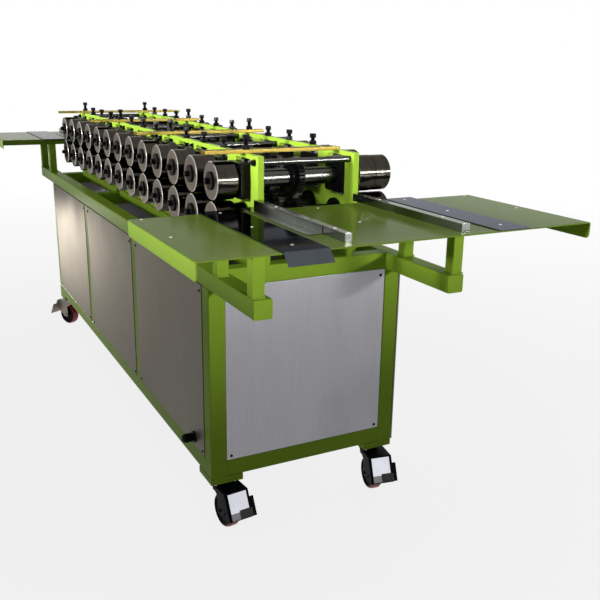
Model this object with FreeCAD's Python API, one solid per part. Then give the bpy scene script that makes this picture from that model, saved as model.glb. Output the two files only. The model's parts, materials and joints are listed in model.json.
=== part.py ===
import FreeCAD, Part
import math
import os

os.makedirs("parts", exist_ok=True)
V = FreeCAD.Vector

# Edge flanging machine, in mm. X runs across the machine, Y along the line
# of rolls from the entry end to the far end, and Z up from the floor.
# The origin is on the floor under the middle of the cabinet.

# Cabinet frame of square tube
tube = 60.0
tube_corner = 4.0
cabinet_width = 740.0
cabinet_length = 2600.0
cabinet_height = 745.0
rail_reach = 360.0
bay_length = 800.0
foot_side = 120.0
foot_drop = 25.0

# Panels
panel_thickness = 4.0
panel_gap = 0.4
side_panel_proud = 2.0
end_panel_inset = 3.0
cover_panel_thickness = 6.0
cover_panel_gap = 10.0

# Casters
caster_height = 175.0
caster_plate_side = 96.0
caster_plate_thickness = 6.0
swivel_housing_radius = 36.0
swivel_housing_depth = 18.0
swivel_gap = 0.4
kingpin_radius = 10.0
caster_offset = 42.0
front_left_turn = 6.0
front_right_turn = -10.0
rear_turn = 29.0
wheel_radius = 62.5
wheel_width = 46.0
axle_radius = 6.0
axle_end = 5.0
housing_chamfer = 5.0
fork_cheek = 4.0
fork_inner = 52.0
fork_crown_thickness = 8.0
fork_crown_margin = 2.0
fork_foot = 14.0
fork_back = 17.0
fork_back_height = 52.0
hood_reach = 91.0
hood_drop = 55.0
hood_sheet = 4.0
pedal_lean = 25.0
lever_sheet = 3.0
lever_left = 28.0
lever_right = 70.0
lever_top = 28.0
lever_length = 70.0
pedal_sheet = 4.0
pedal_right = 44.0
pedal_top = 3.0
pedal_long = 92.0
pedal_short = 62.0
pedal_split = 6.0
tab_sheet = 10.0
tab_right = 54.0
tab_top = 66.0
tab_length = 28.0
wheel_tread = 12.0
tread_shoulder = 6.0
tread_fall = 2.0
running_clearance = 0.05

# Roll head
station_pitch = 195.0
head_end_margin = 30.0
pass_height = 203.0
roll_radius = 64.0
roll_gap = 5.0
left_roll_face = 305.0
roll_inner_end = 229.0
right_roll_seam = 296.0
right_roll_face = 360.0
right_roll_step = 1.0
ring_rise = 9.0
ring_width = 14.0
ring_bevel = 7.0
lower_relief = 10.0
shaft_radius = 30.0
hub_recess_radius = 30.0
hub_recess_depth = 8.0
end_bolt_flats = 24.0
end_bolt_reach = 18.0
gear_width = 44.0

# Side plates that carry the shafts
plate_spacing = 376.0
plate_thickness = 20.0
plate_end_inset = 10.0
plate_lift = 15.0
plate_height = 341.0
window_width = 120.0
window_sill = 3.0
window_cap = 15.0
window_corner = 8.0
block_height = 118.0
block_reach = 34.0
block_inner_reach = 10.0
housing_radius = 55.0
housing_spigot_radius = 50.0
housing_chamfer_out = 6.0
bed_beam_width = 50.0
bed_beam_height = 40.0
bed_beam_outside = 12.0
head_foot_length = 60.0
head_foot_height = 150.0

# Screws, rods and bars on the roll head
screw_radius = 8.0
screw_rise = 40.0
barred_screw_rise = 60.0
screw_head_flats = 21.0
screw_head_height = 13.0
lock_nut_flats = 24.0
lock_nut_height = 14.0
tie_rod_radius = 11.0
tie_rod_drop = 23.0
tie_rod_end_inset = 28.0
tie_rod_stations = [2, 4]
cross_bar_width = 40.0
cross_bar_height = 12.0
cross_bar_hole_gap = 1.0
cross_bar_left_end = 330.0
cross_bar_right_ends = [170.0, 240.0, 232.0, 390.0]

# Tables at both ends
table_width = 1260.0
table_sheet = 3.0
table_below_pass = 8.0
table_clear_of_cabinet = 40.0
table_past_rails = 255.0
table_side_flange = 50.0
table_inner_flange = 30.0
table_corner = 12.0
table_post = 40.0
table_post_end_gap = 9.0
entry_plate_thickness = 3.0
entry_plate_overhang = 20.0
entry_plate_lip = 30.0
left_entry_plate_edge = 405.0
left_entry_plate_width = 130.0
right_entry_plate_edge = 279.0
right_entry_plate_width = 109.0
guide_bar_height = 25.0
guide_bar_overhang = 40.0
left_guide_bar_edge = 205.0
left_guide_bar_width = 21.0
left_guide_bar_end_gap = 44.0
right_guide_bar_edge = 162.0
right_guide_bar_width = 28.0
right_guide_bar_end_gap = 27.0
guide_angle_leg = 47.0
guide_angle_sheet = 3.0
guide_angle_end_gap = 121.0

# Cable gland low on the left side
gland_radius = 17.0
gland_length = 45.0
gland_bore = 8.0
gland_flange = 6.0
gland_neck = 6.0
gland_step = 4.0
gland_nose = 8.0
gland_from_end = 160.0
gland_height = 295.0

# Levels and places worked out from the sizes above
half_width = cabinet_width / 2
half_length = cabinet_length / 2
rail_end = half_length + rail_reach
frame_bottom = caster_height + foot_drop
rail_top = frame_bottom + cabinet_height
rail_bottom = rail_top - tube
inner_x = half_width - tube
inner_y = half_length - tube
pass_z = rail_top + pass_height
upper_axis = pass_z + roll_gap / 2 + roll_radius
lower_axis = pass_z - roll_gap / 2 - roll_radius
plate_out = plate_spacing / 2
plate_in = plate_out - plate_thickness
plate_end = half_length - plate_end_inset
plate_bottom = rail_top + plate_lift
plate_top = plate_bottom + plate_height
window_bottom = pass_z - window_sill
window_top = plate_top - window_cap
block_bottom = upper_axis - block_height / 2
block_top = upper_axis + block_height / 2
table_top = pass_z - table_below_pass
table_under = table_top - table_sheet
table_inner = half_length + table_clear_of_cabinet
table_outer = rail_end + table_past_rails
station_count = int((cabinet_length - 2 * head_end_margin) / station_pitch)
stations = [(i - (station_count - 1) / 2) * station_pitch for i in range(station_count)]
last_bar = len(cross_bar_right_ends) - 1
bar_stations = [round(k * (station_count - 1) / last_bar) for k in range(last_bar + 1)]


def box(x0, x1, y0, y1, z0, z1):
    low = V(min(x0, x1), min(y0, y1), min(z0, z1))
    return Part.makeBox(abs(x1 - x0), abs(y1 - y0), abs(z1 - z0), low)


def rounded_bar(x0, x1, y0, y1, z0, z1, axis):
    """A square tube's outside, with rounded corners along its length."""
    bar = box(x0, x1, y0, y1, z0, z1)
    along = [e for e in bar.Edges if abs(getattr(e.tangentAt(e.FirstParameter), axis)) > 0.9]
    return bar.makeFillet(tube_corner, along)


def mirror_x(shape):
    return shape.mirror(V(0, 0, 0), V(1, 0, 0))


def mirror_y(shape):
    return shape.mirror(V(0, 0, 0), V(0, 1, 0))


def cylinder_x(radius, x0, x1, y, z):
    return Part.makeCylinder(radius, x1 - x0, V(x0, y, z), V(1, 0, 0))


def turned_x(profile, y, z):
    """Revolve a list of (x, radius) points about the X line through y, z."""
    points = [V(x, 0, r) for x, r in profile]
    face = Part.Face(Part.makePolygon(points + [points[0]]))
    body = face.revolve(V(0, 0, 0), V(1, 0, 0), 360)
    body.translate(V(0, y, z))
    return body


def turned_z(profile, x, y):
    """Revolve a list of (radius, z) points about the vertical line through x, y."""
    points = [V(r, 0, z) for r, z in profile]
    face = Part.Face(Part.makePolygon(points + [points[0]]))
    body = face.revolve(V(0, 0, 0), V(0, 0, 1), 360)
    body.translate(V(x, y, 0))
    return body


def hexagon(flats, height, base, axis):
    """A hexagonal prism that starts at base and runs along axis."""
    radius = flats / math.sqrt(3)
    points = [V(radius * math.cos(k * math.pi / 3), radius * math.sin(k * math.pi / 3), 0)
              for k in range(7)]
    points[6] = points[0]
    prism = Part.Face(Part.makePolygon(points)).extrude(V(0, 0, height))
    prism.Placement = FreeCAD.Placement(base, FreeCAD.Rotation(V(0, 0, 1), axis))
    return prism


def export(name, solids):
    shape = solids[0] if len(solids) == 1 else Part.makeCompound(solids)
    shape.exportStep("parts/" + name + ".step")


# Cabinet: two long top rails reach past both ends and carry the tables
top_rail = rounded_bar(-half_width, -inner_x, -rail_end, rail_end, rail_bottom, rail_top, "y")
export("long_top_rails", [top_rail, mirror_x(top_rail)])

cross_rail_centres = [-(half_length - tube / 2), -(bay_length + tube) / 2,
                      (bay_length + tube) / 2, half_length - tube / 2]
cross_rails = [rounded_bar(-inner_x, inner_x, y - tube / 2, y + tube / 2, rail_bottom, rail_top, "x")
               for y in cross_rail_centres]
export("top_cross_rails", cross_rails)

posts = []
for y in cross_rail_centres:
    post = rounded_bar(-half_width, -inner_x, y - tube / 2, y + tube / 2,
                       frame_bottom + tube, rail_bottom, "z")
    posts += [post, mirror_x(post)]
export("cabinet_posts", posts)

bottom_side = rounded_bar(-half_width, -inner_x, -half_length, half_length,
                          frame_bottom, frame_bottom + tube, "y")
bottom_end = rounded_bar(-inner_x, inner_x, -half_length, -inner_y,
                         frame_bottom, frame_bottom + tube, "x")
export("bottom_rails", [bottom_side, mirror_x(bottom_side), bottom_end, mirror_y(bottom_end)])

foot = box(-half_width, -half_width + foot_side, -half_length, -half_length + foot_side,
           caster_height, frame_bottom)
feet = [foot, mirror_x(foot), mirror_y(foot), mirror_x(mirror_y(foot))]
export("corner_feet", feet)

# Panels: trays in the openings on the left, covers on the right, insets at the ends
panel_low = frame_bottom + tube + panel_gap
panel_high = rail_bottom - panel_gap
side_panels = []
for k in range(3):
    y0 = cross_rail_centres[k] + tube / 2 + panel_gap
    y1 = cross_rail_centres[k + 1] - tube / 2 - panel_gap
    side_panels.append(box(-half_width - side_panel_proud,
                           -half_width - side_panel_proud + panel_thickness,
                           y0, y1, panel_low, panel_high))
export("left_side_panels", side_panels)

cover_panels = []
for k in range(3):
    y0 = cross_rail_centres[k] - (tube / 2 if k == 0 else -cover_panel_gap / 2)
    y1 = cross_rail_centres[k + 1] + (tube / 2 if k == 2 else -cover_panel_gap / 2)
    cover_panels.append(box(half_width, half_width + cover_panel_thickness,
                            y0, y1, frame_bottom, rail_bottom))
export("right_side_panels", cover_panels)

end_panel = box(-inner_x + panel_gap, inner_x - panel_gap, -half_length + end_panel_inset,
                -half_length + end_panel_inset + panel_thickness, panel_low, panel_high)
export("end_panels", [end_panel, mirror_y(end_panel)])

# Casters: a plate with a swivel housing, a fork with its kingpin and axle, a wheel
swivel_x = half_width - foot_side / 2
swivel_y = half_length - foot_side / 2
housing_low = caster_height - caster_plate_thickness - swivel_housing_depth
plate = box(-caster_plate_side / 2, caster_plate_side / 2, -caster_plate_side / 2,
            caster_plate_side / 2, caster_height - caster_plate_thickness, caster_height)
housing = turned_z([(0, caster_height - caster_plate_thickness),
                    (swivel_housing_radius, caster_height - caster_plate_thickness),
                    (swivel_housing_radius, housing_low + housing_chamfer),
                    (swivel_housing_radius - housing_chamfer, housing_low), (0, housing_low)], 0, 0)
kingpin_top = caster_height - caster_plate_thickness
pin_bore = Part.makeCylinder(kingpin_radius + running_clearance, kingpin_top - housing_low,
                             V(0, 0, housing_low))
caster_mount = plate.fuse(housing).cut(pin_bore).removeSplitter()

crown_top = housing_low - swivel_gap
crown_low = crown_top - fork_crown_thickness
cheek_out = fork_inner / 2 + fork_cheek
crown_reach = swivel_housing_radius + fork_crown_margin
crown = box(-cheek_out, cheek_out, -hood_reach, crown_reach, crown_low, crown_top)
kingpin = Part.makeCylinder(kingpin_radius, kingpin_top - crown_top - swivel_gap, V(0, 0, crown_top))
lean = math.radians(pedal_lean)
fork_back_y = -caster_offset + fork_back
cheek_outline = [V(0, crown_reach, crown_top), V(0, -hood_reach, crown_top),
                 V(0, -hood_reach - hood_drop * math.sin(lean), crown_top - hood_drop * math.cos(lean)),
                 V(0, -caster_offset - fork_foot, wheel_radius - fork_foot),
                 V(0, -caster_offset + fork_foot, wheel_radius - fork_foot),
                 V(0, fork_back_y, wheel_radius), V(0, fork_back_y, wheel_radius + fork_back_height)]
cheek = Part.Face(Part.makePolygon(cheek_outline + [cheek_outline[0]])).extrude(V(fork_cheek, 0, 0))
left_cheek = cheek.translated(V(-cheek_out, 0, 0))
right_cheek = cheek.translated(V(cheek_out - fork_cheek, 0, 0))
axle = cylinder_x(axle_radius, -cheek_out - axle_end, cheek_out + axle_end, -caster_offset, wheel_radius)


def front_sheet(outline, ahead, thickness):
    """A sheet along the fork's leaning front, from (across, down) points."""
    points = [V(across, -ahead, -down) for across, down in outline]
    sheet = Part.Face(Part.makePolygon(points + [points[0]])).extrude(V(0, -thickness, 0))
    sheet.rotate(V(0, 0, 0), V(1, 0, 0), -pedal_lean)
    return sheet.translated(V(0, -hood_reach, crown_top))


def corners(left, right, top, bottom):
    return [(left, top), (right, top), (right, bottom), (left, bottom)]


hood = front_sheet(corners(-cheek_out, cheek_out, 0, hood_drop), -hood_sheet, hood_sheet)
lever = front_sheet(corners(-lever_left, lever_right, lever_top, lever_top + lever_length), 0, lever_sheet)
pedal = front_sheet([(-lever_left, pedal_top), (pedal_right, pedal_top),
                     (pedal_right, pedal_top + pedal_short), (pedal_split, pedal_top + pedal_short),
                     (pedal_split, pedal_top + pedal_long), (-lever_left, pedal_top + pedal_long)],
                    0, lever_sheet + pedal_sheet)
tab = front_sheet(corners(pedal_split, tab_right, tab_top, tab_top + tab_length), 0, tab_sheet)
fork = crown.multiFuse([kingpin, left_cheek, right_cheek, axle, hood, lever, pedal, tab])
fork = fork.removeSplitter()

bore = axle_radius + running_clearance
half_wheel = wheel_width / 2
tyre_side = wheel_radius - wheel_tread
tyre_edge = wheel_radius - tread_fall
wheel = turned_x([(-half_wheel, bore), (half_wheel, bore), (half_wheel, tyre_side),
                  (half_wheel - tread_shoulder, tyre_edge),
                  (half_wheel - 2 * tread_shoulder, wheel_radius),
                  (-half_wheel + 2 * tread_shoulder, wheel_radius),
                  (-half_wheel + tread_shoulder, tyre_edge), (-half_wheel, tyre_side)],
                 -caster_offset, wheel_radius)

mounts = []
for name, x_side, y_side, turn in (("front_left", -1, -1, front_left_turn),
                                   ("front_right", 1, -1, front_right_turn),
                                   ("rear_left", -1, 1, 180 + rear_turn),
                                   ("rear_right", 1, 1, 180 - rear_turn)):
    spot = V(x_side * swivel_x, y_side * swivel_y, 0)
    turned = FreeCAD.Placement(spot, FreeCAD.Rotation(V(0, 0, 1), turn))
    mounts.append(caster_mount.translated(spot))
    export("caster_fork_" + name, [fork.transformed(turned.toMatrix())])
    export("caster_wheel_" + name, [wheel.transformed(turned.toMatrix())])
export("caster_mounts", mounts)

# Bed: short beams between the cross rails, and feet on the end rails
bed_out = plate_out + bed_beam_outside
bed_beams = []
for k in range(3):
    y0 = cross_rail_centres[k] + tube / 2
    y1 = cross_rail_centres[k + 1] - tube / 2
    beam = box(-bed_out, -bed_out + bed_beam_width, y0, y1,
               plate_bottom - bed_beam_height, plate_bottom)
    bed_beams += [beam, mirror_x(beam)]
head_foot = box(-plate_in, -plate_in + plate_thickness, -half_length,
                -half_length + head_foot_length, rail_top, rail_top + head_foot_height)
bed_beams += [head_foot, mirror_x(head_foot), mirror_y(head_foot), mirror_x(mirror_y(head_foot))]
export("bed_beams", bed_beams)

# Side plates: a window for each upper bearing block, a hole for each lower
# housing and a tapped hole in the cap for each pressure screw
side_plate = box(-plate_out, -plate_in, -plate_end, plate_end, plate_bottom, plate_top)
cutters = []
for y in stations:
    window = box(-plate_out - 1, -plate_in + 1, y - window_width / 2, y + window_width / 2,
                 window_bottom, window_top)
    across = [e for e in window.Edges if abs(e.tangentAt(e.FirstParameter).x) > 0.9]
    cutters.append(window.makeFillet(window_corner, across))
    cutters.append(cylinder_x(housing_spigot_radius, -plate_out - 1, -plate_in + 1, y, lower_axis))
    cutters.append(Part.makeCylinder(screw_radius + running_clearance, window_cap + 2,
                                     V(-(plate_out + plate_in) / 2, y, window_top - 1)))
side_plate = side_plate.cut(Part.makeCompound(cutters))
export("left_side_plate", [side_plate])
export("right_side_plate", [mirror_x(side_plate)])

# Bearings: square blocks that slide in the windows above, round flanged housings below.
# The first pressure screw on the right is missing
blocks = []
housings = []
screws = []
screw_x = (plate_out + plate_in) / 2
block_out = -plate_out - block_reach
block_in = -plate_in + block_inner_reach
shaft_bore = shaft_radius + running_clearance
spigot = housing_spigot_radius - running_clearance
for y in stations:
    block = box(block_out, block_in, y - window_width / 2, y + window_width / 2, block_bottom, block_top)
    upright = [e for e in block.Edges if abs(e.tangentAt(e.FirstParameter).x) > 0.9]
    block = block.makeChamfer(window_corner, upright)
    block = block.cut(cylinder_x(shaft_bore, block_out, block_in, y, upper_axis))
    blocks += [block, mirror_x(block)]
    housing = turned_x([(block_out, shaft_bore), (block_out, housing_radius - housing_chamfer_out),
                        (block_out + housing_chamfer_out, housing_radius), (-plate_out, housing_radius),
                        (-plate_out, spigot), (block_in, spigot), (block_in, shaft_bore)], y, lower_axis)
    housings += [housing, mirror_x(housing)]
    barred = stations.index(y) in bar_stations
    screw_top = plate_top + (barred_screw_rise if barred else screw_rise)
    nut_base = plate_top + (cross_bar_height if barred else 0)
    screw = Part.makeCylinder(screw_radius, screw_top - block_top, V(-screw_x, y, block_top))
    nut = hexagon(lock_nut_flats, lock_nut_height, V(-screw_x, y, nut_base), V(0, 0, 1))
    head = hexagon(screw_head_flats, screw_head_height,
                   V(-screw_x, y, screw_top - screw_head_height), V(0, 0, 1))
    screw = screw.multiFuse([nut, head])
    screws += [screw] if y == stations[0] else [screw, mirror_x(screw)]
export("bearing_blocks", blocks)
export("bearing_housings", housings)
export("pressure_screws", screws)

# Polished tie rods between the plates
rod_z = plate_top - tie_rod_drop
rod_places = [-plate_end + tie_rod_end_inset] + [stations[i] + station_pitch / 2 for i in tie_rod_stations]
rod_places = sorted(set(rod_places + [-y for y in rod_places]))
rods = [cylinder_x(tie_rod_radius, -plate_in, plate_in, y, rod_z) for y in rod_places]
export("tie_rods", rods)

# Passivated flat bars across the tops of the plates, under the lock nuts of their stations
cross_bars = []
for index, right_end in zip(bar_stations, cross_bar_right_ends):
    y = stations[index]
    bar = box(-cross_bar_left_end, right_end, y - cross_bar_width / 2,
              y + cross_bar_width / 2, plate_top, plate_top + cross_bar_height)
    hole = Part.makeCylinder(screw_radius + cross_bar_hole_gap, cross_bar_height, V(-screw_x, y, plate_top))
    bar = bar.cut(hole)
    cross_bars.append(bar if index == 0 else bar.cut(mirror_x(hole)))
export("cross_bars", cross_bars)

# Roll shafts: each turns as one piece with its left roll, drive gear and right roll
gear_half = gear_width / 2
recess_floor = -left_roll_face + hub_recess_depth


def roll_shaft(y, z, left_outline):
    right_outline = [(roll_inner_end, shaft_radius), (roll_inner_end, roll_radius),
                     (right_roll_seam, roll_radius),
                     (right_roll_seam, roll_radius - right_roll_step),
                     (right_roll_face, roll_radius - right_roll_step), (right_roll_face, 0)]
    gear = [(-gear_half, shaft_radius), (-gear_half, roll_radius), (gear_half, roll_radius),
            (gear_half, shaft_radius)]
    left_end = [(recess_floor, 0), (recess_floor, hub_recess_radius),
                (-left_roll_face, hub_recess_radius)]
    profile = left_end + left_outline + [(-roll_inner_end, shaft_radius)] + gear + right_outline
    shaft = turned_x(profile, y, z)
    bolt = hexagon(end_bolt_flats, hub_recess_depth + end_bolt_reach,
                   V(-left_roll_face - end_bolt_reach, y, z), V(1, 0, 0))
    return shaft.fuse(bolt)


plain_roll = [(-left_roll_face, roll_radius), (-roll_inner_end, roll_radius)]
ringed_roll = [(-left_roll_face, roll_radius),
               (-roll_inner_end - ring_width - ring_bevel, roll_radius),
               (-roll_inner_end - ring_width, roll_radius + ring_rise),
               (-roll_inner_end, roll_radius + ring_rise)]
relieved_roll = [(-left_roll_face, roll_radius),
                 (-roll_inner_end - ring_width - ring_bevel, roll_radius),
                 (-roll_inner_end - ring_width, roll_radius - lower_relief),
                 (-roll_inner_end, roll_radius - lower_relief)]
for number, y in enumerate(stations, start=1):
    upper_outline = plain_roll if number == 1 else ringed_roll
    lower_outline = plain_roll if number == 1 else relieved_roll
    export("upper_shaft_%02d" % number, [roll_shaft(y, upper_axis, upper_outline)])
    export("lower_shaft_%02d" % number, [roll_shaft(y, lower_axis, lower_outline)])

# Tables: folded sheet on four posts at each end, with entry plates and guides
outer_post = box(-half_width, -half_width + table_post, -rail_end + table_post_end_gap,
                 -rail_end + table_post_end_gap + table_post, rail_top, table_under)
inner_post = box(-half_width, -half_width + table_post, -table_inner - table_sheet - table_post,
                 -table_inner - table_sheet, rail_top, table_under)
table_posts = []
for post in (outer_post, inner_post):
    table_posts += [post, mirror_x(post), mirror_y(post), mirror_x(mirror_y(post))]
export("table_posts", table_posts)

half_table = table_width / 2
sheet = box(-half_table, half_table, -table_outer, -table_inner, table_under, table_top)
side_flange = box(-half_table, -half_table + table_sheet, -table_outer, -table_inner,
                  table_top - table_side_flange, table_under)
lower_corners = [e for e in side_flange.Edges
                 if abs(e.tangentAt(e.FirstParameter).x) > 0.9 and e.CenterOfMass.z < table_under - 1]
side_flange = side_flange.makeFillet(table_corner, lower_corners)
inner_flange = box(-half_table, half_table, -table_inner - table_sheet, -table_inner,
                   table_top - table_inner_flange, table_under)
front_table = sheet.multiFuse([side_flange, mirror_x(side_flange), inner_flange]).removeSplitter()
export("front_table", [front_table])
export("rear_table", [mirror_y(front_table)])

lip = entry_plate_lip
plate_y = -table_outer
plate_high = table_top + entry_plate_thickness
fold = entry_plate_thickness * math.tan(math.pi / 8)
slope = entry_plate_thickness * math.sqrt(0.5)
lip_profile = [V(0, -table_inner + entry_plate_overhang, table_top),
               V(0, -table_inner + entry_plate_overhang, plate_high),
               V(0, plate_y - fold, plate_high),
               V(0, plate_y - fold - lip, plate_high - lip),
               V(0, plate_y - fold - lip + slope, plate_high - lip - slope),
               V(0, plate_y, table_top)]
left_entry = Part.Face(Part.makePolygon(lip_profile + [lip_profile[0]]))
left_entry = left_entry.extrude(V(left_entry_plate_width, 0, 0))
left_entry = left_entry.translated(V(-left_entry_plate_edge, 0, 0))
right_entry = box(right_entry_plate_edge, right_entry_plate_edge + right_entry_plate_width,
                  -table_outer, -table_inner + entry_plate_overhang, table_top, plate_high)
export("entry_plates", [left_entry, right_entry, mirror_y(left_entry), mirror_y(right_entry)])

bar_inner = -table_inner + guide_bar_overhang
left_bar = box(-left_guide_bar_edge, -left_guide_bar_edge + left_guide_bar_width,
               -table_outer + left_guide_bar_end_gap, bar_inner,
               table_top, table_top + guide_bar_height)
right_bar = box(right_guide_bar_edge, right_guide_bar_edge + right_guide_bar_width,
                -table_outer + right_guide_bar_end_gap, bar_inner,
                table_top, table_top + guide_bar_height)
export("guide_bars", [left_bar, right_bar, mirror_y(left_bar), mirror_y(right_bar)])

angle_x = -left_guide_bar_edge
angle_y = -table_outer + left_guide_bar_end_gap + guide_angle_end_gap
angle_profile = [V(angle_x, angle_y, table_top), V(angle_x - guide_angle_leg, angle_y, table_top),
                 V(angle_x - guide_angle_leg, angle_y, table_top + guide_angle_sheet),
                 V(angle_x - guide_angle_sheet, angle_y, table_top + guide_angle_sheet),
                 V(angle_x - guide_angle_sheet, angle_y, table_top + guide_bar_height),
                 V(angle_x, angle_y, table_top + guide_bar_height)]
guide_angle = Part.Face(Part.makePolygon(angle_profile + [angle_profile[0]]))
guide_angle = guide_angle.extrude(V(0, bar_inner - angle_y, 0))
export("guide_angles", [guide_angle, mirror_y(guide_angle)])

# Cable gland on the left side
gland_y = -half_length + gland_from_end
gland_x = -half_width - side_panel_proud
gland_end = gland_x - gland_length
flange_face = gland_x - gland_flange
neck_end = flange_face - gland_neck
gland = turned_x([(gland_x, gland_bore), (gland_x, gland_radius + gland_step),
                  (flange_face, gland_radius + gland_step), (flange_face, gland_radius - gland_step),
                  (neck_end, gland_radius - gland_step), (neck_end, gland_radius),
                  (gland_end + gland_nose, gland_radius), (gland_end, gland_radius - gland_step),
                  (gland_end, gland_bore)], gland_y, gland_height)
export("cable_gland", [gland])
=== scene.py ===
import json
import math
import bmesh
import bpy
from mathutils import Matrix, Vector


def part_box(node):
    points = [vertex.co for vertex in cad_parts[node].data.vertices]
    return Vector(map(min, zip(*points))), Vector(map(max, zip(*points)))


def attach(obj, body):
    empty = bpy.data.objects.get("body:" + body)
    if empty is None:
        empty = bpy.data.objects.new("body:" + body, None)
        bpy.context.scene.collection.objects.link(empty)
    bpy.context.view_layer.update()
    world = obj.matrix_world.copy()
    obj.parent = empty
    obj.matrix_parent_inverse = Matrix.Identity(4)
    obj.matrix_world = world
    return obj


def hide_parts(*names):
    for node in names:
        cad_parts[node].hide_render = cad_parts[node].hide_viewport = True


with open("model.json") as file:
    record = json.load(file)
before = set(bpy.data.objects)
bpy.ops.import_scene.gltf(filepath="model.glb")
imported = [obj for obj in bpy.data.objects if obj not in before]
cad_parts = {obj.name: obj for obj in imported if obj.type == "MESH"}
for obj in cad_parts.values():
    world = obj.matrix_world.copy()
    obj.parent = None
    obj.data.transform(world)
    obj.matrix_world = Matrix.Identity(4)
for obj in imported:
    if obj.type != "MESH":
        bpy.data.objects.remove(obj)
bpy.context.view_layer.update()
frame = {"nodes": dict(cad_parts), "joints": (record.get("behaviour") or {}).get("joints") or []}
solid_nodes = frame["nodes"]
joints = {j["name"]: j for j in frame["joints"]}

# Camera, at the photograph's place and angle
camera_place = Vector((-1.228, -3.578, 1.573))
camera_yaw = math.radians(27.64)
camera_pitch = math.radians(-16.53)
camera_roll = math.radians(0.93)
camera_lens = 46.91

# Levels and places read from the frame
upper_axis = joints["upper_spin_01"]["pos_m"][2]
lower_axis = joints["lower_spin_01"]["pos_m"][2]
pass_level = (upper_axis + lower_axis) / 2
stations = [joints[f"upper_spin_{n:02d}"]["pos_m"][1] for n in range(1, 14)]
station_pitch = stations[1] - stations[0]
right_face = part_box("upper_shaft_01")[1].x
plate_left, plate_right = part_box("left_side_plate")[0].x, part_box("right_side_plate")[1].x
plate_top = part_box("left_side_plate")[1].z

# Sizes of the parts that are dressed here, in metres
tube = 0.060
roll_radius = 0.064
shaft_radius = 0.030
left_face = -0.305
washer_height = 0.006
washer_radius = 0.0305
roll_back = 0.229
wheel_radius = 0.0625
sharp_edge = math.radians(32)
turn_x = Vector((1, 0, 0))
turn_z = Vector((0, 0, 1))


class Wire:
    """A socket that adds a Math node for each operation on it."""

    def __init__(self, finish, socket):
        self.finish = finish
        self.socket = socket

    def maths(self, operation, first, second=None):
        values = {0: first} if second is None else {0: first, 1: second}
        return self.finish.node("ShaderNodeMath", {"operation": operation}, values)

    def __add__(self, other):
        return self.maths("ADD", self, other)

    def __radd__(self, other):
        return self.maths("ADD", other, self)

    def __sub__(self, other):
        return self.maths("SUBTRACT", self, other)

    def __rsub__(self, other):
        return self.maths("SUBTRACT", other, self)

    def __mul__(self, other):
        return self.maths("MULTIPLY", self, other)

    def __rmul__(self, other):
        return self.maths("MULTIPLY", other, self)

    def __pow__(self, other):
        return self.maths("POWER", self, other)

    def __rpow__(self, other):
        return self.maths("POWER", other, self)

    def __mod__(self, other):
        return self.maths("FLOORED_MODULO", self, other)

    def __rmod__(self, other):
        return self.maths("FLOORED_MODULO", other, self)

    def __gt__(self, other):
        return self.maths("GREATER_THAN", self, other)

    def __lt__(self, other):
        return self.maths("LESS_THAN", self, other)

    def __abs__(self):
        return self.maths("ABSOLUTE", self)


class Finish:
    """One node tree: a surface and the patterns that vary it."""

    def __init__(self, name, slot, tree=None):
        self.slot = slot
        if tree is None:
            self.material = bpy.data.materials.new(name)
            self.material.use_nodes = True
            tree = self.material.node_tree
        self.tree = tree
        self.tree.nodes.clear()

    def node(self, kind, settings=None, inputs=None, output=0):
        """Adds a node with its settings and the values or links of its sockets."""
        made = self.tree.nodes.new(kind)
        for key, value in (settings or {}).items():
            if key == "stops":
                while len(made.color_ramp.elements) < len(value):
                    made.color_ramp.elements.new(0.5)
                for element, (position, shade) in zip(made.color_ramp.elements, value):
                    element.position = position
                    element.color = shade
            else:
                setattr(made, key, value)
        for key, value in (inputs or {}).items():
            if isinstance(value, Wire):
                self.tree.links.new(value.socket, made.inputs[key])
            else:
                made.inputs[key].default_value = value
        return Wire(self, made.outputs[output]) if len(made.outputs) else made

    def place(self):
        """The position on the object, in metres."""
        return self.node("ShaderNodeTexCoord", output="Object")

    def axes(self, vector):
        parts = self.node("ShaderNodeSeparateXYZ", inputs={0: vector})
        sockets = parts.socket.node.outputs
        return [Wire(self, sockets[k]) for k in range(3)]

    def noise(self, scale, detail=3.0, roughness=0.5, stretch=(1, 1, 1), vector=None):
        vector = self.node("ShaderNodeMapping", inputs={"Vector": vector or self.place(),
                                                        "Scale": stretch})
        return self.node("ShaderNodeTexNoise", inputs={"Vector": vector, "Scale": scale,
                                                       "Detail": detail, "Roughness": roughness})

    def spread(self, value, low, high, new_low, new_high):
        """Stretches one range of a value to another."""
        return self.node("ShaderNodeMapRange",
                         inputs={0: value, 1: low, 2: high, 3: new_low, 4: new_high})

    def blend(self, amount, first, second):
        """Mixes two colours, by the Mix node's colour sockets 6 and 7."""
        return self.node("ShaderNodeMix", {"data_type": "RGBA"},
                         {0: amount, 6: first, 7: second}, output=2)

    def bump(self, height, strength, distance):
        return self.node("ShaderNodeBump", inputs={"Height": height, "Strength": strength,
                                                   "Distance": distance})

    def surface(self, **inputs):
        """Closes the finish with a Principled surface."""
        named = {key.replace("_", " "): value for key, value in inputs.items()}
        shader = self.node("ShaderNodeBsdfPrincipled", inputs=named)
        self.node("ShaderNodeOutputMaterial", inputs={"Surface": shader})
        return self


def colour(red, green, blue):
    """A colour given as it looks on a screen, 0 to 255, in linear light."""
    def linear(c):
        c = c / 255
        return c / 12.92 if c <= 0.04045 else ((c + 0.055) / 1.055) ** 2.4
    return (linear(red), linear(green), linear(blue), 1.0)


def brighter(shade, by):
    """The same colour, lighter or darker by a factor, and no lighter than white."""
    return tuple(min(1.0, c * by) for c in shade[:3]) + (1.0,)


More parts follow.
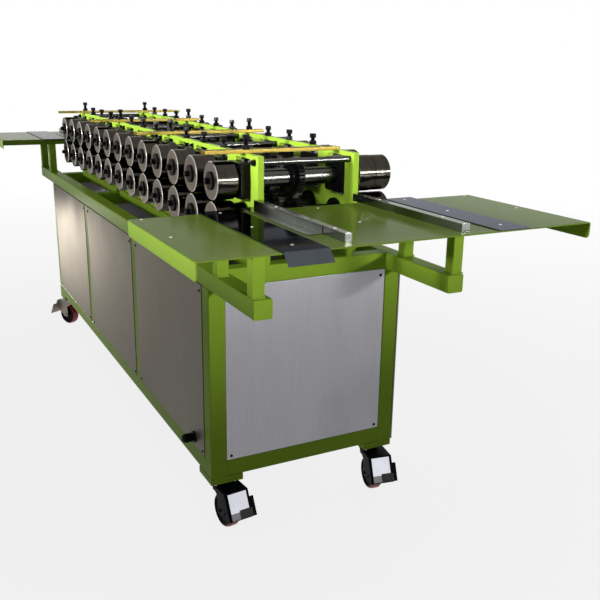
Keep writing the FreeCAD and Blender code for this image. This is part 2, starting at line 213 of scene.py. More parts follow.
def green_paint(name, shade, dusty, gloss, rough_low, rough_high):
    """Lime gloss paint with slight clouding, dust and rub marks."""
    finish = Finish(name, "frame_paint")
    cloud = finish.noise(3.0, detail=5.0)
    tint = finish.blend(finish.spread(cloud, 0.35, 0.65, 0, 1), shade, brighter(shade, 1.08))
    dust = finish.noise(24.0, detail=6.0, roughness=0.65)
    tint = finish.blend(finish.spread(dust, 0.55, 0.8, 0, 0.2), tint, dusty)
    rubbed = finish.noise(90.0, detail=3.0, stretch=(1, 0.06, 1))
    peel = finish.noise(380.0, detail=2.0)
    rough = finish.spread(dust, 0.3, 0.8, rough_low, rough_high)
    rough = rough + finish.spread(rubbed, 0.6, 0.75, 0, 0.06)
    return finish.surface(Base_Color=tint, Roughness=rough, Specular_IOR_Level=gloss,
                          Normal=finish.bump(peel, 0.05, 0.0003))


def brushed_panel(name, shade, streaked, edge_tint, rough):
    """Sheet brushed upwards, with faint streaks and hand marks."""
    finish = Finish(name, "panel_steel")
    grain = finish.noise(900.0, detail=4.0, roughness=0.6, stretch=(1, 1, 0.012))
    streak = finish.noise(14.0, detail=3.0, stretch=(1, 1, 0.08))
    cloud = finish.noise(2.2, detail=4.0)
    tint = finish.blend(finish.spread(grain, 0.3, 0.7, 0, 1), shade, streaked)
    tint = finish.blend(finish.spread(streak, 0.45, 0.75, 0, 0.45), tint, streaked)
    tint = finish.blend(finish.spread(cloud, 0.55, 0.72, 0, 0.3), tint, brighter(shade, 0.8))
    rough = finish.spread(cloud, 0.3, 0.7, rough, rough + 0.1)
    rough = rough + finish.spread(grain, 0.3, 0.7, -0.05, 0.05)
    return finish.surface(Base_Color=tint, Metallic=1.0, Roughness=rough, Specular_Tint=edge_tint,
                          Normal=finish.bump(grain, 0.10, 0.0002))


def bright_sheet(name, slot, shade, rough_low, rough_high, edge_tint=(1, 1, 1, 1)):
    """Smooth bright metal with clouds and fine drawn scratches."""
    finish = Finish(name, slot)
    cloud = finish.noise(7.0, detail=6.0, roughness=0.6)
    scratch = finish.noise(160.0, detail=2.0, stretch=(1, 0.03, 1))
    tint = finish.blend(finish.spread(cloud, 0.35, 0.7, 0, 1), shade, brighter(shade, 1.3))
    rough = finish.spread(cloud, 0.3, 0.7, rough_low, rough_high)
    rough = rough + finish.spread(scratch, 0.62, 0.72, 0, 0.08)
    return finish.surface(Base_Color=tint, Metallic=1.0, Roughness=rough, Specular_Tint=edge_tint,
                          Normal=finish.bump(scratch, 0.04, 0.0002))


def turned_steel(name, shade, rough, mark_scale, edge_tint=(1, 1, 1, 1)):
    """Steel turned about X: fine rings on the rims and circles on the end faces."""
    finish = Finish(name, "roll_steel")
    x, y, z = finish.axes(finish.place())
    across = (y + (stations[-1] + station_pitch / 2)) % station_pitch - station_pitch / 2
    above = abs(z - pass_level) - (upper_axis - pass_level)
    radius = (across * across + above * above) ** 0.5
    along = finish.node("ShaderNodeCombineXYZ", inputs={0: x, 1: radius, 2: 0.0})
    lines = finish.noise(mark_scale, detail=2.0, vector=along)
    rings_and_sheen = finish.noise(90.0, detail=2.0, vector=along)
    cloud = finish.noise(26.0, detail=5.0)
    tint = finish.blend(finish.spread(cloud, 0.35, 0.7, 0, 1), shade, brighter(shade, 0.78))
    # Lighter rings: turning marks, and partly a painted sheen standing in for the circular
    # highlights of turned steel.
    tint = finish.blend(finish.spread(rings_and_sheen, 0.4, 0.7, 0, 0.35), tint, brighter(shade, 1.5))
    worn = finish.spread(lines, 0.35, 0.65, rough - 0.05, rough + 0.06)
    return finish.surface(Base_Color=tint, Metallic=1.0, Roughness=worn, Specular_Tint=edge_tint,
                          Normal=finish.bump(lines, 0.12, 0.0001))


def dark_steel(name, slot, shade, rough, metal=0.35, gloss=0.25):
    """Blackened or painted steel with a fine grain."""
    finish = Finish(name, slot)
    grain = finish.noise(60.0, detail=5.0)
    tint = finish.blend(finish.spread(grain, 0.35, 0.7, 0, 1), shade, brighter(shade, 1.9))
    return finish.surface(Base_Color=tint, Metallic=metal, Specular_IOR_Level=gloss,
                          Roughness=finish.spread(grain, 0.3, 0.7, rough - 0.08, rough + 0.08),
                          Normal=finish.bump(grain, 0.15, 0.0002))


def passivated_steel():
    """Yellow passivated bar, clouded and uneven in hue."""
    finish = Finish("yellow_passivated_steel", "bar_steel")
    cloud = finish.noise(18.0, detail=5.0)
    hue = finish.noise(6.0, detail=2.0)
    tint = finish.blend(finish.spread(cloud, 0.3, 0.7, 0, 1),
                        colour(124, 107, 48), colour(108, 94, 43))
    tint = finish.blend(finish.spread(hue, 0.48, 0.68, 0, 0.6), tint, colour(112, 106, 46))
    return finish.surface(Base_Color=tint, Metallic=0.8, Specular_IOR_Level=0.1,
                          Specular_Tint=(0.42, 0.37, 0.18, 1),
                          Roughness=finish.spread(cloud, 0.3, 0.7, 0.24, 0.4),
                          Normal=finish.bump(cloud, 0.05, 0.0004))


def red_tread():
    """Red wheel tread, worn darker in patches."""
    finish = Finish("red_tread", "wheel_red")
    wear = finish.noise(70.0, detail=5.0)
    tint = finish.blend(finish.spread(wear, 0.4, 0.7, 0, 1),
                        colour(196, 42, 52), colour(146, 28, 36))
    return finish.surface(Base_Color=tint, Roughness=finish.spread(wear, 0.3, 0.7, 0.3, 0.5),
                          Normal=finish.bump(wear, 0.1, 0.0003))


def black_plastic():
    """Black moulded plastic with a fine grain."""
    finish = Finish("black_moulded_plastic", "gland_plastic")
    grain = finish.noise(240.0, detail=3.0)
    tint = finish.blend(finish.spread(grain, 0.4, 0.7, 0, 1), colour(6, 6, 7), colour(12, 12, 13))
    return finish.surface(Base_Color=tint, Specular_IOR_Level=0.05,
                          Roughness=finish.spread(grain, 0.3, 0.7, 0.38, 0.52),
                          Normal=finish.bump(grain, 0.1, 0.0002))


paint = green_paint("green_gloss_paint", colour(141, 174, 54), colour(134, 156, 66),
                    0.014, 0.26, 0.38)
# The tables wear the frame's green darkened: painted shade for the dim light on the table tops.
shaded_table_paint = green_paint("green_table_paint", colour(114, 138, 50), colour(112, 130, 68),
                          0.012, 0.12, 0.22)
end_steel = brushed_panel("brushed_end_panel", colour(136, 135, 140), colour(150, 149, 153),
                          (1, 1, 1, 1), 0.36)
# The side sheets are the end sheets' brushed steel made darker and warmer: painted shade and a
# painted warm reflection.
shaded_side_steel = brushed_panel("brushed_side_panel", colour(88, 86, 80), colour(102, 99, 92),
                           (0.75, 0.72, 0.68, 1), 0.42)
# Both entry plates are steel darkened far below its real tone, a painted dark reflection; the
# right-hand copy is lighter, a painted brighter reflection, and a little rougher.
plate_steel = bright_sheet("polished_entry_plate", "plate_steel", colour(70, 74, 80), 0.05, 0.12,
                           (0.3, 0.3, 0.31, 1))
right_plate_reflection = bright_sheet("worn_entry_plate", "plate_steel", colour(84, 86, 94), 0.08, 0.18,
                          (0.45, 0.46, 0.5, 1))
guide_metal = bright_sheet("drawn_guide_bar", "guide_metal", colour(138, 140, 136), 0.14, 0.26,
                           (0.7, 0.7, 0.68, 1))
face_steel = turned_steel("ground_roll_face", colour(116, 108, 100), 0.26, 1400.0,
                          (0.6, 0.58, 0.55, 1))
# The rims are the roll's steel darkened far below its real tone: painted shade that stands in for
# the dark surroundings they reflect.
rim_steel_dark_reflection = turned_steel("polished_roll_rim", colour(60, 57, 52), 0.14, 900.0,
                         (0.6, 0.58, 0.55, 1))
# The chamfers are the same steel painted far lighter than the rims: a painted highlight along each
# roll edge.
edge_highlight_steel = turned_steel("bright_roll_edge", colour(196, 193, 188), 0.2, 900.0)
rod_steel = bright_sheet("polished_rod", "rod_steel", colour(72, 72, 69), 0.20, 0.28,
                         (0.55, 0.55, 0.53, 1))
screw_steel = bright_sheet("bright_screw", "rod_steel", colour(214, 214, 210), 0.18, 0.26)
zinc = bright_sheet("zinc_pedal", "rod_steel", colour(206, 207, 215), 0.3, 0.42)
# The pedal's lower end wears the same zinc, darker.
darker_zinc = bright_sheet("dull_zinc_pedal_end", "rod_steel", colour(112, 114, 116), 0.34, 0.46)
fork_steel = bright_sheet("zinc_fork_steel", "panel_steel", colour(126, 120, 112), 0.36, 0.48)
black_steel = dark_steel("black_oxide_steel", "black_steel", colour(10, 10, 10), 0.32, 0.15, 0.12)
washer_steel = dark_steel("blackened_end_washer", "black_steel", colour(20, 18, 17), 0.5, 0.0, 0.03)
caster_black = dark_steel("black_caster_paint", "caster_black", colour(9, 10, 10), 0.46, 0.0, 0.04)
tab_steel = dark_steel("dark_tab", "caster_black", colour(50, 48, 48), 0.4)
bar_steel = passivated_steel()
tread = red_tread()
plastic = black_plastic()


def facing(point, axis, turn=0.0):
    """The placement that stands a shape made along +Z at a point, along an axis."""
    upright = Vector(axis).to_track_quat("Z", "Y").to_matrix().to_4x4()
    return Matrix.Translation(Vector(point)) @ upright @ Matrix.Rotation(turn, 4, "Z")


def put_in_scene(name, data):
    """A new object, linked to the scene."""
    made = bpy.data.objects.new(name, data)
    bpy.context.collection.objects.link(made)
    return made


class Piece:
    """A shape being made: its mesh and the finishes that its faces wear."""

    def __init__(self, mesh=None, *finishes):
        self.mesh = mesh or bmesh.new()
        self.finishes = list(finishes)

    def wear(self, faces, finish):
        """Gives a finish to some faces."""
        if finish not in self.finishes:
            self.finishes.append(finish)
        for face in faces:
            face.material_index = self.finishes.index(finish)

    def bevel(self, edges, width, segments=2):
        if edges:
            bmesh.ops.bevel(self.mesh, geom=edges, offset=width, offset_type="OFFSET",
                            segments=segments, profile=0.5, affect="EDGES",
                            clamp_overlap=True, material=-1)

    def soften(self, width, segments=1, sharper_than=25.0):
        """Rounds every edge that is sharper than an angle."""
        self.bevel([e for e in self.mesh.edges if len(e.link_faces) == 2
                    and e.calc_face_angle() > math.radians(sharper_than)], width, segments)
        return self

    def add(self, other, places=(Matrix(),)):
        """Adds a copy of another shape at each place, or one where it lies."""
        for finish in other.finishes:
            if finish not in self.finishes:
                self.finishes.append(finish)
        own = [self.finishes.index(finish) for finish in other.finishes]
        data = bpy.data.meshes.new("copy")
        other.mesh.to_mesh(data)
        for polygon in data.polygons:
            polygon.material_index = own[polygon.material_index]
        for place in places:
            moved = data.copy()
            moved.transform(place)
            self.mesh.from_mesh(moved)
            bpy.data.meshes.remove(moved)
        bpy.data.meshes.remove(data)
        return self

    def finish_as(self, name, replaced=(), body="machine"):
        """Turns the shape into a named piece that rides on a body."""
        bmesh.ops.remove_doubles(self.mesh, verts=self.mesh.verts, dist=1e-6)
        bmesh.ops.recalc_face_normals(self.mesh, faces=self.mesh.faces)
        for face in self.mesh.faces:
            face.smooth = True
        for edge in self.mesh.edges:
            edge.smooth = len(edge.link_faces) != 2 or edge.calc_face_angle() < sharp_edge
        mesh = bpy.data.meshes.new(name)
        self.mesh.to_mesh(mesh)
        self.mesh.free()
        for finish in self.finishes:
            mesh.materials.append(finish.material)
        made = put_in_scene(name, mesh)
        weights = made.modifiers.new("even_shading", "WEIGHTED_NORMAL")
        weights.keep_sharp = True
        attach(made, body)
        if replaced:
            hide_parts(*replaced)


def plain_box(low, high, finish):
    """A box between two corners."""
    piece = Piece(None, finish)
    made = bmesh.ops.create_cube(piece.mesh, size=1.0)["verts"]
    bmesh.ops.scale(piece.mesh, vec=high - low, verts=made)
    bmesh.ops.translate(piece.mesh, vec=(low + high) / 2, verts=made)
    return piece


def block(low, high, finish, width):
    """A box with all its edges softened."""
    piece = plain_box(low, high, finish)
    piece.bevel(piece.mesh.edges[:], width)
    return piece


def tube_bar(low, high, finish, corner):
    """A square tube with rounded long corners and plain capped ends."""
    piece = plain_box(low, high, finish)
    along = max(range(3), key=lambda k: (high - low)[k])
    piece.bevel([e for e in piece.mesh.edges
                 if abs((e.verts[0].co - e.verts[1].co)[along]) > 1e-6], corner, 4)
    return piece.soften(0.0008, 2, sharper_than=60.0)


def turned(stretches, steps):
    """Spins (along, radius) outlines about Z; each stretch has its own finish."""
    piece = Piece()
    for finish, outline in stretches:
        first = len(piece.mesh.faces)
        points = [piece.mesh.verts.new((radius, 0, along)) for along, radius in outline]
        edges = [piece.mesh.edges.new(pair) for pair in zip(points, points[1:])]
        bmesh.ops.spin(piece.mesh, geom=points + edges, cent=(0, 0, 0), axis=turn_z,
                       dvec=(0, 0, 0), angle=math.tau, steps=steps, use_merge=True,
                       use_duplicate=False)
        piece.mesh.faces.ensure_lookup_table()
        piece.wear(piece.mesh.faces[first:], finish)
    bmesh.ops.remove_doubles(piece.mesh, verts=piece.mesh.verts, dist=1e-6)
    return piece


def hexagon(flats, length, finish, width=0.001):
    """A hexagonal prism that stands on the origin along Z."""
    piece = Piece(None, finish)
    corner = flats / math.sqrt(3)
    bmesh.ops.create_cone(piece.mesh, cap_ends=True, cap_tris=False, segments=6,
                          radius1=corner, radius2=corner, depth=length)
    bmesh.ops.translate(piece.mesh, vec=(0, 0, length / 2), verts=piece.mesh.verts)
    piece.bevel([e for e in piece.mesh.edges
                 if abs(e.verts[0].co.z - e.verts[1].co.z) < 1e-6], width)
    return piece


def thicken(mesh, length):
    """Extrudes a flat mesh along Z."""
    made = bmesh.ops.extrude_face_region(mesh, geom=mesh.faces[:])["geom"]
    moved = [g for g in made if isinstance(g, bmesh.types.BMVert)]
    bmesh.ops.translate(mesh, vec=(0, 0, length), verts=moved)


def prism(outline, length, finish, width):
    """An outline drawn in X and Y, thickened along Z and softened."""
    piece = Piece(None, finish)
    piece.mesh.faces.new([piece.mesh.verts.new((x, y, 0)) for x, y in outline])
    thicken(piece.mesh, length)
    return piece.soften(width)


def button_screw(finish, radius, height):
    """A round-headed screw with a socket, standing on the origin."""
    outline = [(0.0, radius), (height * 0.45, radius * 0.93), (height * 0.8, radius * 0.74),
               (height, radius * 0.52), (height * 0.35, radius * 0.45), (height * 0.35, 0.0)]
    return turned([(finish, outline)], 14)


def cap_screw(finish, radius, height):
    """A cylinder-headed screw with a socket, standing on the origin."""
    outline = [(0.0, radius), (height * 0.88, radius), (height, radius * 0.9),
               (height, radius * 0.55), (height * 0.4, radius * 0.5), (height * 0.4, 0.0)]
    return turned([(finish, outline)], 16)


def merged_solid(node):
    """A copy of a CAD node's mesh with its flat faces joined up."""
    mesh = bmesh.new()
    mesh.from_mesh(solid_nodes[node].data)
    bmesh.ops.remove_doubles(mesh, verts=mesh.verts, dist=1e-6)
    bmesh.ops.dissolve_limit(mesh, angle_limit=math.radians(0.5),
                             verts=mesh.verts, edges=mesh.edges)
    return mesh


def groups_of(mesh):
    """The vertices of each separate solid in a mesh, ordered by their lowest corner."""
    left = set(mesh.verts)
    found = []
    while left:
        group = [left.pop()]
        for vert in group:
            for edge in vert.link_edges:
                other = edge.other_vert(vert)
                if other in left:
                    left.remove(other)
                    group.append(other)
        found.append(group)
    return sorted(found, key=lambda group: tuple(min(v.co[k] for v in group) for k in range(3)))


def boxes_of(node):
    """The low and high corner of each separate solid in a CAD node."""
    mesh = merged_solid(node)
    found = [(Vector([min(v.co[k] for v in group) for k in range(3)]),
              Vector([max(v.co[k] for v in group) for k in range(3)]))
             for group in groups_of(mesh)]
    mesh.free()
    return found


def first_solid(node, finish):
    """The first of a CAD node's separate solids, as a shape of its own."""
    mesh = merged_solid(node)
    for group in groups_of(mesh)[1:]:
        bmesh.ops.delete(mesh, geom=group, context="VERTS")
    return Piece(mesh, finish)


def ring_boxes(node):
    """The four tubes that meet round the bottom, from the box round them."""
    low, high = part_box(node)
    left, right, front, back = low.x + tube, high.x - tube, low.y + tube, high.y - tube
    return [(low, Vector((left, high.y, high.z))), (Vector((right, low.y, low.z)), high),
            (Vector((left, low.y, low.z)), Vector((right, front, high.z))),
            (Vector((left, back, low.z)), Vector((right, high.y, high.z)))]


def blocks_like(node, finish, width):
    """A softened block for each separate solid of a CAD node."""
    piece = Piece()
    for low, high in boxes_of(node):
        piece.add(block(low, high, finish, width))
    return piece


def tubes():
    """The frame's square tubes, its foot plates and the short beams under the head."""
    for node in ("long_top_rails", "top_cross_rails", "cabinet_posts", "bottom_rails"):
        piece = Piece()
        for low, high in (ring_boxes(node) if node == "bottom_rails" else boxes_of(node)):
            piece.add(tube_bar(low, high, paint, 0.005))
        piece.finish_as(node.rstrip("s") + "_tubes", [node])
    for node, name, width in (("corner_feet", "corner_foot_plates", 0.002),
                              ("bed_beams", "bed_beam_bars", 0.0015)):
        blocks_like(node, paint, width).finish_as(name, [node])


def table_posts():
    """Square posts with a weld bead round each foot."""
    bead_width, bead_height = 0.003, 0.004
    reach = Vector((bead_width, bead_width, 0))
    piece, beads = Piece(), Piece()
    for low, high in boxes_of("table_posts"):
        piece.add(tube_bar(low, high, paint, 0.004))
        bead_top = Vector((high.x, high.y, low.z + bead_height))
        beads.add(block(low - reach, bead_top + reach, paint, 0.0016))
    piece.finish_as("table_post_tubes", ["table_posts"])
    beads.finish_as("post_weld_beads")


def panels():
    """Side and end sheets with a button screw near every corner."""
    screw = button_screw(black_steel, 0.0055, 0.003)
    edge = 0.0008
    inset, drop, lift = 0.017, 0.022, 0.014
    places = []
    for side in ("left", "right"):
        node = f"{side}_side_panels"
        # The side sheets wear the darker copy of the steel, painted shade.
        blocks_like(node, shaded_side_steel, edge).finish_as(f"{side}_panel_sheets", [node])
        for low, high in boxes_of(node):
            x, axis = (low.x, -turn_x) if low.x < 0 else (high.x, turn_x)
            places += [facing((x, y, z), axis) for y in (low.y + inset, high.y - inset)
                       for z in (low.z + lift, high.z - drop)]
    blocks_like("end_panels", end_steel, edge).finish_as("end_panel_sheets", ["end_panels"])
    for low, high in boxes_of("end_panels"):
        y, axis = (low.y, Vector((0, -1, 0))) if low.y < 0 else (high.y, Vector((0, 1, 0)))
        places += [facing((x, y, z), axis) for x in (low.x + inset, high.x - inset)
                   for z in (low.z + lift, high.z - drop)]
    Piece().add(screw, places).finish_as("panel_screws")


def side_plates():
    """The two windowed plates with their edges softened."""
    for node in ("left_side_plate", "right_side_plate"):
        Piece(merged_solid(node), paint).soften(0.0008).finish_as(node + "_cut", [node])


def both_sides(y, z, shift=0.0):
    """Placements on the outside of the left and the right plate, made along +Z."""
    return [facing((plate_left - shift, y, z), -turn_x),
            facing((plate_right + shift, y, z), turn_x)]


def bearings():
    """Sliding blocks with bolted covers on the upper row, round housings on the lower."""
    reach = plate_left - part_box("bearing_housings")[0].x
    bore, sunk, cover_height, bolt_spread = 0.0302, -0.030, 0.004, 0.046
    slider = first_solid("bearing_blocks", black_steel).soften(0.001, 2)
    housing = turned([(black_steel, [(sunk, bore), (sunk, 0.0498), (0.0, 0.0498), (0.0, 0.055),
                                     (reach - 0.006, 0.055), (reach - 0.002, 0.0525),
                                     (reach, 0.049), (reach, 0.041), (reach - 0.003, 0.040),
                                     (reach - 0.003, bore), (sunk, bore)])], 40)
    cover = turned([(black_steel, [(0.0, 0.046), (cover_height, 0.045), (cover_height, bore),
                                   (0.0, bore), (0.0, 0.046)])], 40)
    bolt = cap_screw(black_steel, 0.0045, 0.005)
    blocks, covers, bolts = [], [], []
    for y in stations:
        blocks += [Matrix.Translation((0, y - stations[0], 0)),
                   Matrix.Rotation(math.pi, 4, "Z") @ Matrix.Translation((0, -y - stations[0], 0))]
        covers += both_sides(y, upper_axis, reach)
        bolts += [place for across in (-bolt_spread, bolt_spread)
                  for above in (-bolt_spread, bolt_spread)
                  for place in both_sides(y + across, upper_axis + above, reach)]
    Piece().add(slider, blocks).finish_as("sliding_bearing_blocks", ["bearing_blocks"])
    housings = [place for y in stations for place in both_sides(y, lower_axis)]
    piece = Piece().add(housing, housings).add(cover, covers)
    piece.finish_as("round_bearing_housings", ["bearing_housings"])
    Piece().add(bolt, bolts).finish_as("bearing_bolts")


def threaded_rod(radius, length, pitch, finish):
    """A rod along Z with a thread of rings and bevelled ends."""
    edge, depth = 0.001, 0.0011
    outline = [(0.0, 0.0), (0.0, radius - edge)]
    for k in range(int((length - edge) / pitch)):
        outline += [(edge + k * pitch, radius - depth), (edge + (k + 0.5) * pitch, radius)]
    return turned([(finish, outline + [(length, radius - edge), (length, 0.0)])], 18)


def pressure_screws():
    """A screw, lock nut and head over each block; the nut lies on the plate or on a bar."""
    head_height, collar_height, nut_gap = 0.013, 0.0022, 0.05
    block_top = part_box("bearing_blocks")[1].z
    bar_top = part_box("cross_bars")[1].z
    nut = hexagon(0.024, 0.014, black_steel)
    head = hexagon(0.021, head_height, black_steel, 0.0014)
    collar = turned([(black_steel, [(0.0, 0.0), (0.0, 0.0125), (collar_height, 0.0125),
                                    (collar_height, 0.0)])], 20)
    piece = Piece()
    rods = {}
    for low, high in boxes_of("pressure_screws"):
        x, y = (low.x + high.x) / 2, (low.y + high.y) / 2
        under_nut = bar_top if high.z > plate_top + nut_gap else plate_top
        length = high.z - block_top - 0.008
        if round(length, 4) not in rods:
            rods[round(length, 4)] = threaded_rod(0.008, length, 0.002, black_steel)
        piece.add(rods[round(length, 4)], [Matrix.Translation((x, y, block_top))])
        piece.add(nut, [facing((x, y, under_nut), turn_z, y * 9 + x)])
        head_level = high.z - head_height
        piece.add(head, [facing((x, y, head_level), turn_z, y * 5 + x * 3)])
        piece.add(collar, [Matrix.Translation((x, y, head_level - collar_height))])
    piece.finish_as("pressure_screw_set", ["pressure_screws"])


def rods_and_bars():
    """Tie rods with a washer, a nut and a thread end at both plates, and the flat bars."""
    edge, washer_thick, nut_height = 0.0006, 0.0025, 0.0085
    rods, bolts = Piece(), Piece()
    washer = turned([(black_steel, [(0.0, 0.0), (0.0, 0.012), (washer_thick, 0.012),
                                    (washer_thick, 0.0)])], 24)
    nut = hexagon(0.017, nut_height, black_steel)
    tip = threaded_rod(0.005, 0.007, 0.0015, black_steel)
    for low, high in boxes_of("tie_rods"):
        centre, radius, length = (low + high) / 2, (high.z - low.z) / 2, high.x - low.x
        rod = turned([(rod_steel, [(0, 0), (0, radius - edge), (edge, radius),
                                   (length - edge, radius), (length, radius - edge),
                                   (length, 0)])], 36)
        rods.add(rod, [facing((low.x, centre.y, centre.z), turn_x)])
        bolts.add(washer, both_sides(centre.y, centre.z))
        bolts.add(nut, both_sides(centre.y, centre.z, washer_thick))
        bolts.add(tip, both_sides(centre.y, centre.z, washer_thick + nut_height))
    rods.finish_as("polished_tie_rods", ["tie_rods"])
    bolts.finish_as("tie_rod_bolts")
    bars = Piece(merged_solid("cross_bars"), bar_steel).soften(0.0012, 2)
    bars.finish_as("passivated_cross_bars", ["cross_bars"])


def drive_gear(half_gap):
    """A spur gear about Z, centred on the origin; the lower row's teeth fall in the gaps."""
    teeth, root, tip, width = 38, 0.0620, 0.0690, 0.022
    piece = Piece()
    ring = bmesh.ops.create_circle(piece.mesh, cap_ends=True, segments=teeth * 4,
                                   radius=1.0)["verts"]
    step = math.tau / (teeth * 4)
    for vert in ring:
        place = math.atan2(vert.co.y, vert.co.x) / step
        on_tip = round(place - 0.5) % 4 in ((0, 3) if half_gap else (1, 2))
        radius = tip if on_tip else root
        turn = place * step
        vert.co = Vector((math.cos(turn) * radius, math.sin(turn) * radius, -width / 2))
    thicken(piece.mesh, width)
    piece.wear(piece.mesh.faces, black_steel)
    return piece


def left_rim(number, row):
    """The left roll's outline: plain first pair, raised ring above, relief below."""
    raised, relief, edge = 0.073, 0.054, 0.0012
    if number == 1:
        return [(-roll_back - 0.006, roll_radius), (-roll_back - 0.002, roll_radius - 0.002),
                (-roll_back, roll_radius - 0.007)]
    if row == "upper":
        return [(-0.2505, roll_radius), (-0.2495, roll_radius + 0.0004),
                (-0.2435, raised - 0.0002), (-0.2425, raised),
                (-roll_back - edge, raised), (-roll_back, raised - edge)]
    return [(-0.2545, roll_radius), (-0.2535, roll_radius - 0.0006),
            (-0.2465, relief + 0.0006), (-0.2455, relief),
            (-roll_back - edge, relief), (-roll_back, relief - edge)]


def roll_set(number, row):
    """A shaft about Z with its rolls, left end washer, right recess and middle collar."""
    chamfer, washer_edge = 0.0022, 0.0008
    washer_face = left_face - washer_height
    collar_half, collar_radius = 0.0225, 0.047
    groove_start, groove_end = 0.2950, 0.2990
    rim = left_rim(number, row)
    left_end = [(left_face, roll_radius - chamfer), (left_face, washer_radius)]
    left_edge = [(left_face, roll_radius - chamfer), (left_face + chamfer, roll_radius)]
    washer = [(left_face, washer_radius), (washer_face + washer_edge, washer_radius),
              (washer_face, washer_radius - washer_edge), (washer_face, 0.0)]
    collar = [(-collar_half, shaft_radius), (-collar_half, collar_radius - 0.001),
              (-collar_half + 0.001, collar_radius), (collar_half - 0.001, collar_radius),
              (collar_half, collar_radius - 0.001), (collar_half, shaft_radius)]
    right_edge = [(roll_back, roll_radius - chamfer), (roll_back + chamfer, roll_radius)]
    right_rim = [(roll_back + chamfer, roll_radius), (groove_start, roll_radius),
                 (groove_start + 0.0008, roll_radius - 0.0026),
                 (groove_end - 0.0008, roll_radius - 0.0026), (groove_end, roll_radius - 0.001),
                 (right_face - 0.003, roll_radius - 0.001), (right_face, roll_radius - 0.004)]
    right_end = [right_rim[-1], (right_face, 0.0312), (right_face - 0.001, 0.030)]
    recess = [(right_face - 0.001, 0.030), (right_face - 0.007, 0.0295),
              (right_face - 0.007, 0.021), (right_face - 0.004, 0.0205), (right_face - 0.004, 0.0)]
    return turned([
        (face_steel, left_end), (edge_highlight_steel, left_edge), (rim_steel_dark_reflection, [left_edge[-1]] + rim),
        (face_steel, [rim[-1], (-roll_back, shaft_radius)]), (washer_steel, washer),
        (rod_steel, [(-roll_back, shaft_radius), collar[0]]), (black_steel, collar),
        (rod_steel, [collar[-1], (roll_back, shaft_radius)]),
        (face_steel, [(roll_back, shaft_radius), right_edge[0]]), (edge_highlight_steel, right_edge),
        (rim_steel_dark_reflection, right_rim), (face_steel, right_end), (black_steel, recess)], 72)


def roll_shafts():
    """All shafts of both rows; each has its own turn of bolt."""
    right_foot = right_face - 0.004
    left_bolt = hexagon(0.019, 0.0155, washer_steel, 0.0012)
    right_bolt = hexagon(0.024, right_face - right_foot, black_steel)
    for row, level in (("upper", upper_axis), ("lower", lower_axis)):
        gear = drive_gear(row == "lower")
        plain, formed = roll_set(1, row), roll_set(2, row)
        for number, y in enumerate(stations, start=1):
            name = f"{row}_shaft_{number:02d}"
            turn = number * 0.7 + (0.3 if row == "upper" else 0)
            middle = [facing((0, y, level), turn_x)]
            piece = Piece().add(plain if number == 1 else formed, middle).add(gear, middle)
            piece.add(left_bolt, [facing((left_face - washer_height, y, level), -turn_x, turn)])
            piece.add(right_bolt, [facing((right_foot, y, level), turn_x, turn)])
            piece.finish_as(name + "_rolls", [name], body=name)


def tables():
    """The folded tables, with rounded long edges; their tops wear a darker copy of the frame's
    paint as painted shade, and their outer flanges wear the frame's paint.
    """
    fold_radius, flange_area = 0.004, 0.004
    for node in ("front_table", "rear_table"):
        # The table tops wear the darker copy of the green, painted shade.
        piece = Piece(merged_solid(node), shaded_table_paint)
        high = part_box(node)[1]
        piece.bevel([e for e in piece.mesh.edges
                     if all(abs(abs(v.co.x) - high.x) < 1e-5 and abs(v.co.z - high.z) < 1e-5
                            for v in e.verts)], fold_radius, 4)
        piece.soften(0.0004, sharper_than=60.0)
        piece.wear([f for f in piece.mesh.faces
                    if abs(f.normal.x) > 0.7 and f.calc_area() > flange_area], paint)
        piece.finish_as(node + "_sheet", [node])


def table_fittings():
    """The bright plates and guides that lie on the tables."""
    piece = Piece(merged_solid("entry_plates"), plate_steel).soften(0.0005)
    # The right-hand plate wears the lighter copy, a painted reflection.
    piece.wear([f for f in piece.mesh.faces if f.calc_center_median().x > 0], right_plate_reflection)
    piece.finish_as("polished_entry_plates", ["entry_plates"])
    blocks_like("guide_bars", guide_metal, 0.0008).finish_as("drawn_guide_bars", ["guide_bars"])
    angles = Piece(merged_solid("guide_angles"), guide_metal).soften(0.0004)
    angles.finish_as("folded_guide_angles", ["guide_angles"])


def table_screws():
    """Small bright screws in the tables, plates and guides, alike at both ends."""
    plate_thickness = 0.003
    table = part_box("front_table")[1].z
    plate = table + plate_thickness
    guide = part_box("guide_bars")[1].z
    spots = [(x, y, table) for x in (-0.595, 0.595) for y in (-1.360, -1.630)]
    spots += [(-0.018, y, table) for y in (-1.382, -1.640)]
    spots += [(x, y, plate) for x in (-0.348, 0.334) for y in (-1.361, -1.600, -1.850)]
    spots += [(-0.195, y, guide) for y in (-1.437, -1.800)]
    spots += [(0.176, y, guide) for y in (-1.446, -1.780)]
    screw = turned([(screw_steel, [(0.0, 0.0048), (0.0007, 0.0044), (0.0012, 0.003),
                                   (0.0008, 0.0024), (0.0008, 0.0)])], 14)
    places = [Matrix.Translation((x, y * end, z)) for x, y, z in spots for end in (1, -1)]
    Piece().add(screw, places).finish_as("table_screws")


def cable_gland():
    """A flanged gland with five ribs."""
    ribs_start, rib_pitch = 0.011, 0.0056
    low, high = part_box("cable_gland")
    centre = (low + high) / 2
    outline = [(0.0, 0.008), (0.0, 0.021), (0.006, 0.021), (0.006, 0.014), (0.011, 0.014)]
    for k in range(5):
        start = ribs_start + k * rib_pitch
        outline += [(start, 0.0152), (start + 0.001, 0.017), (start + 0.004, 0.017),
                    (start + 0.005, 0.0152)]
    outline += [(0.040, 0.0150), (0.0445, 0.0128), (0.045, 0.011), (0.045, 0.008), (0.0, 0.008)]
    foot = facing((high.x, centre.y, centre.z), -turn_x)
    piece = Piece().add(turned([(plastic, outline)], 36), [foot])
    piece.finish_as("ribbed_cable_gland", ["cable_gland"])


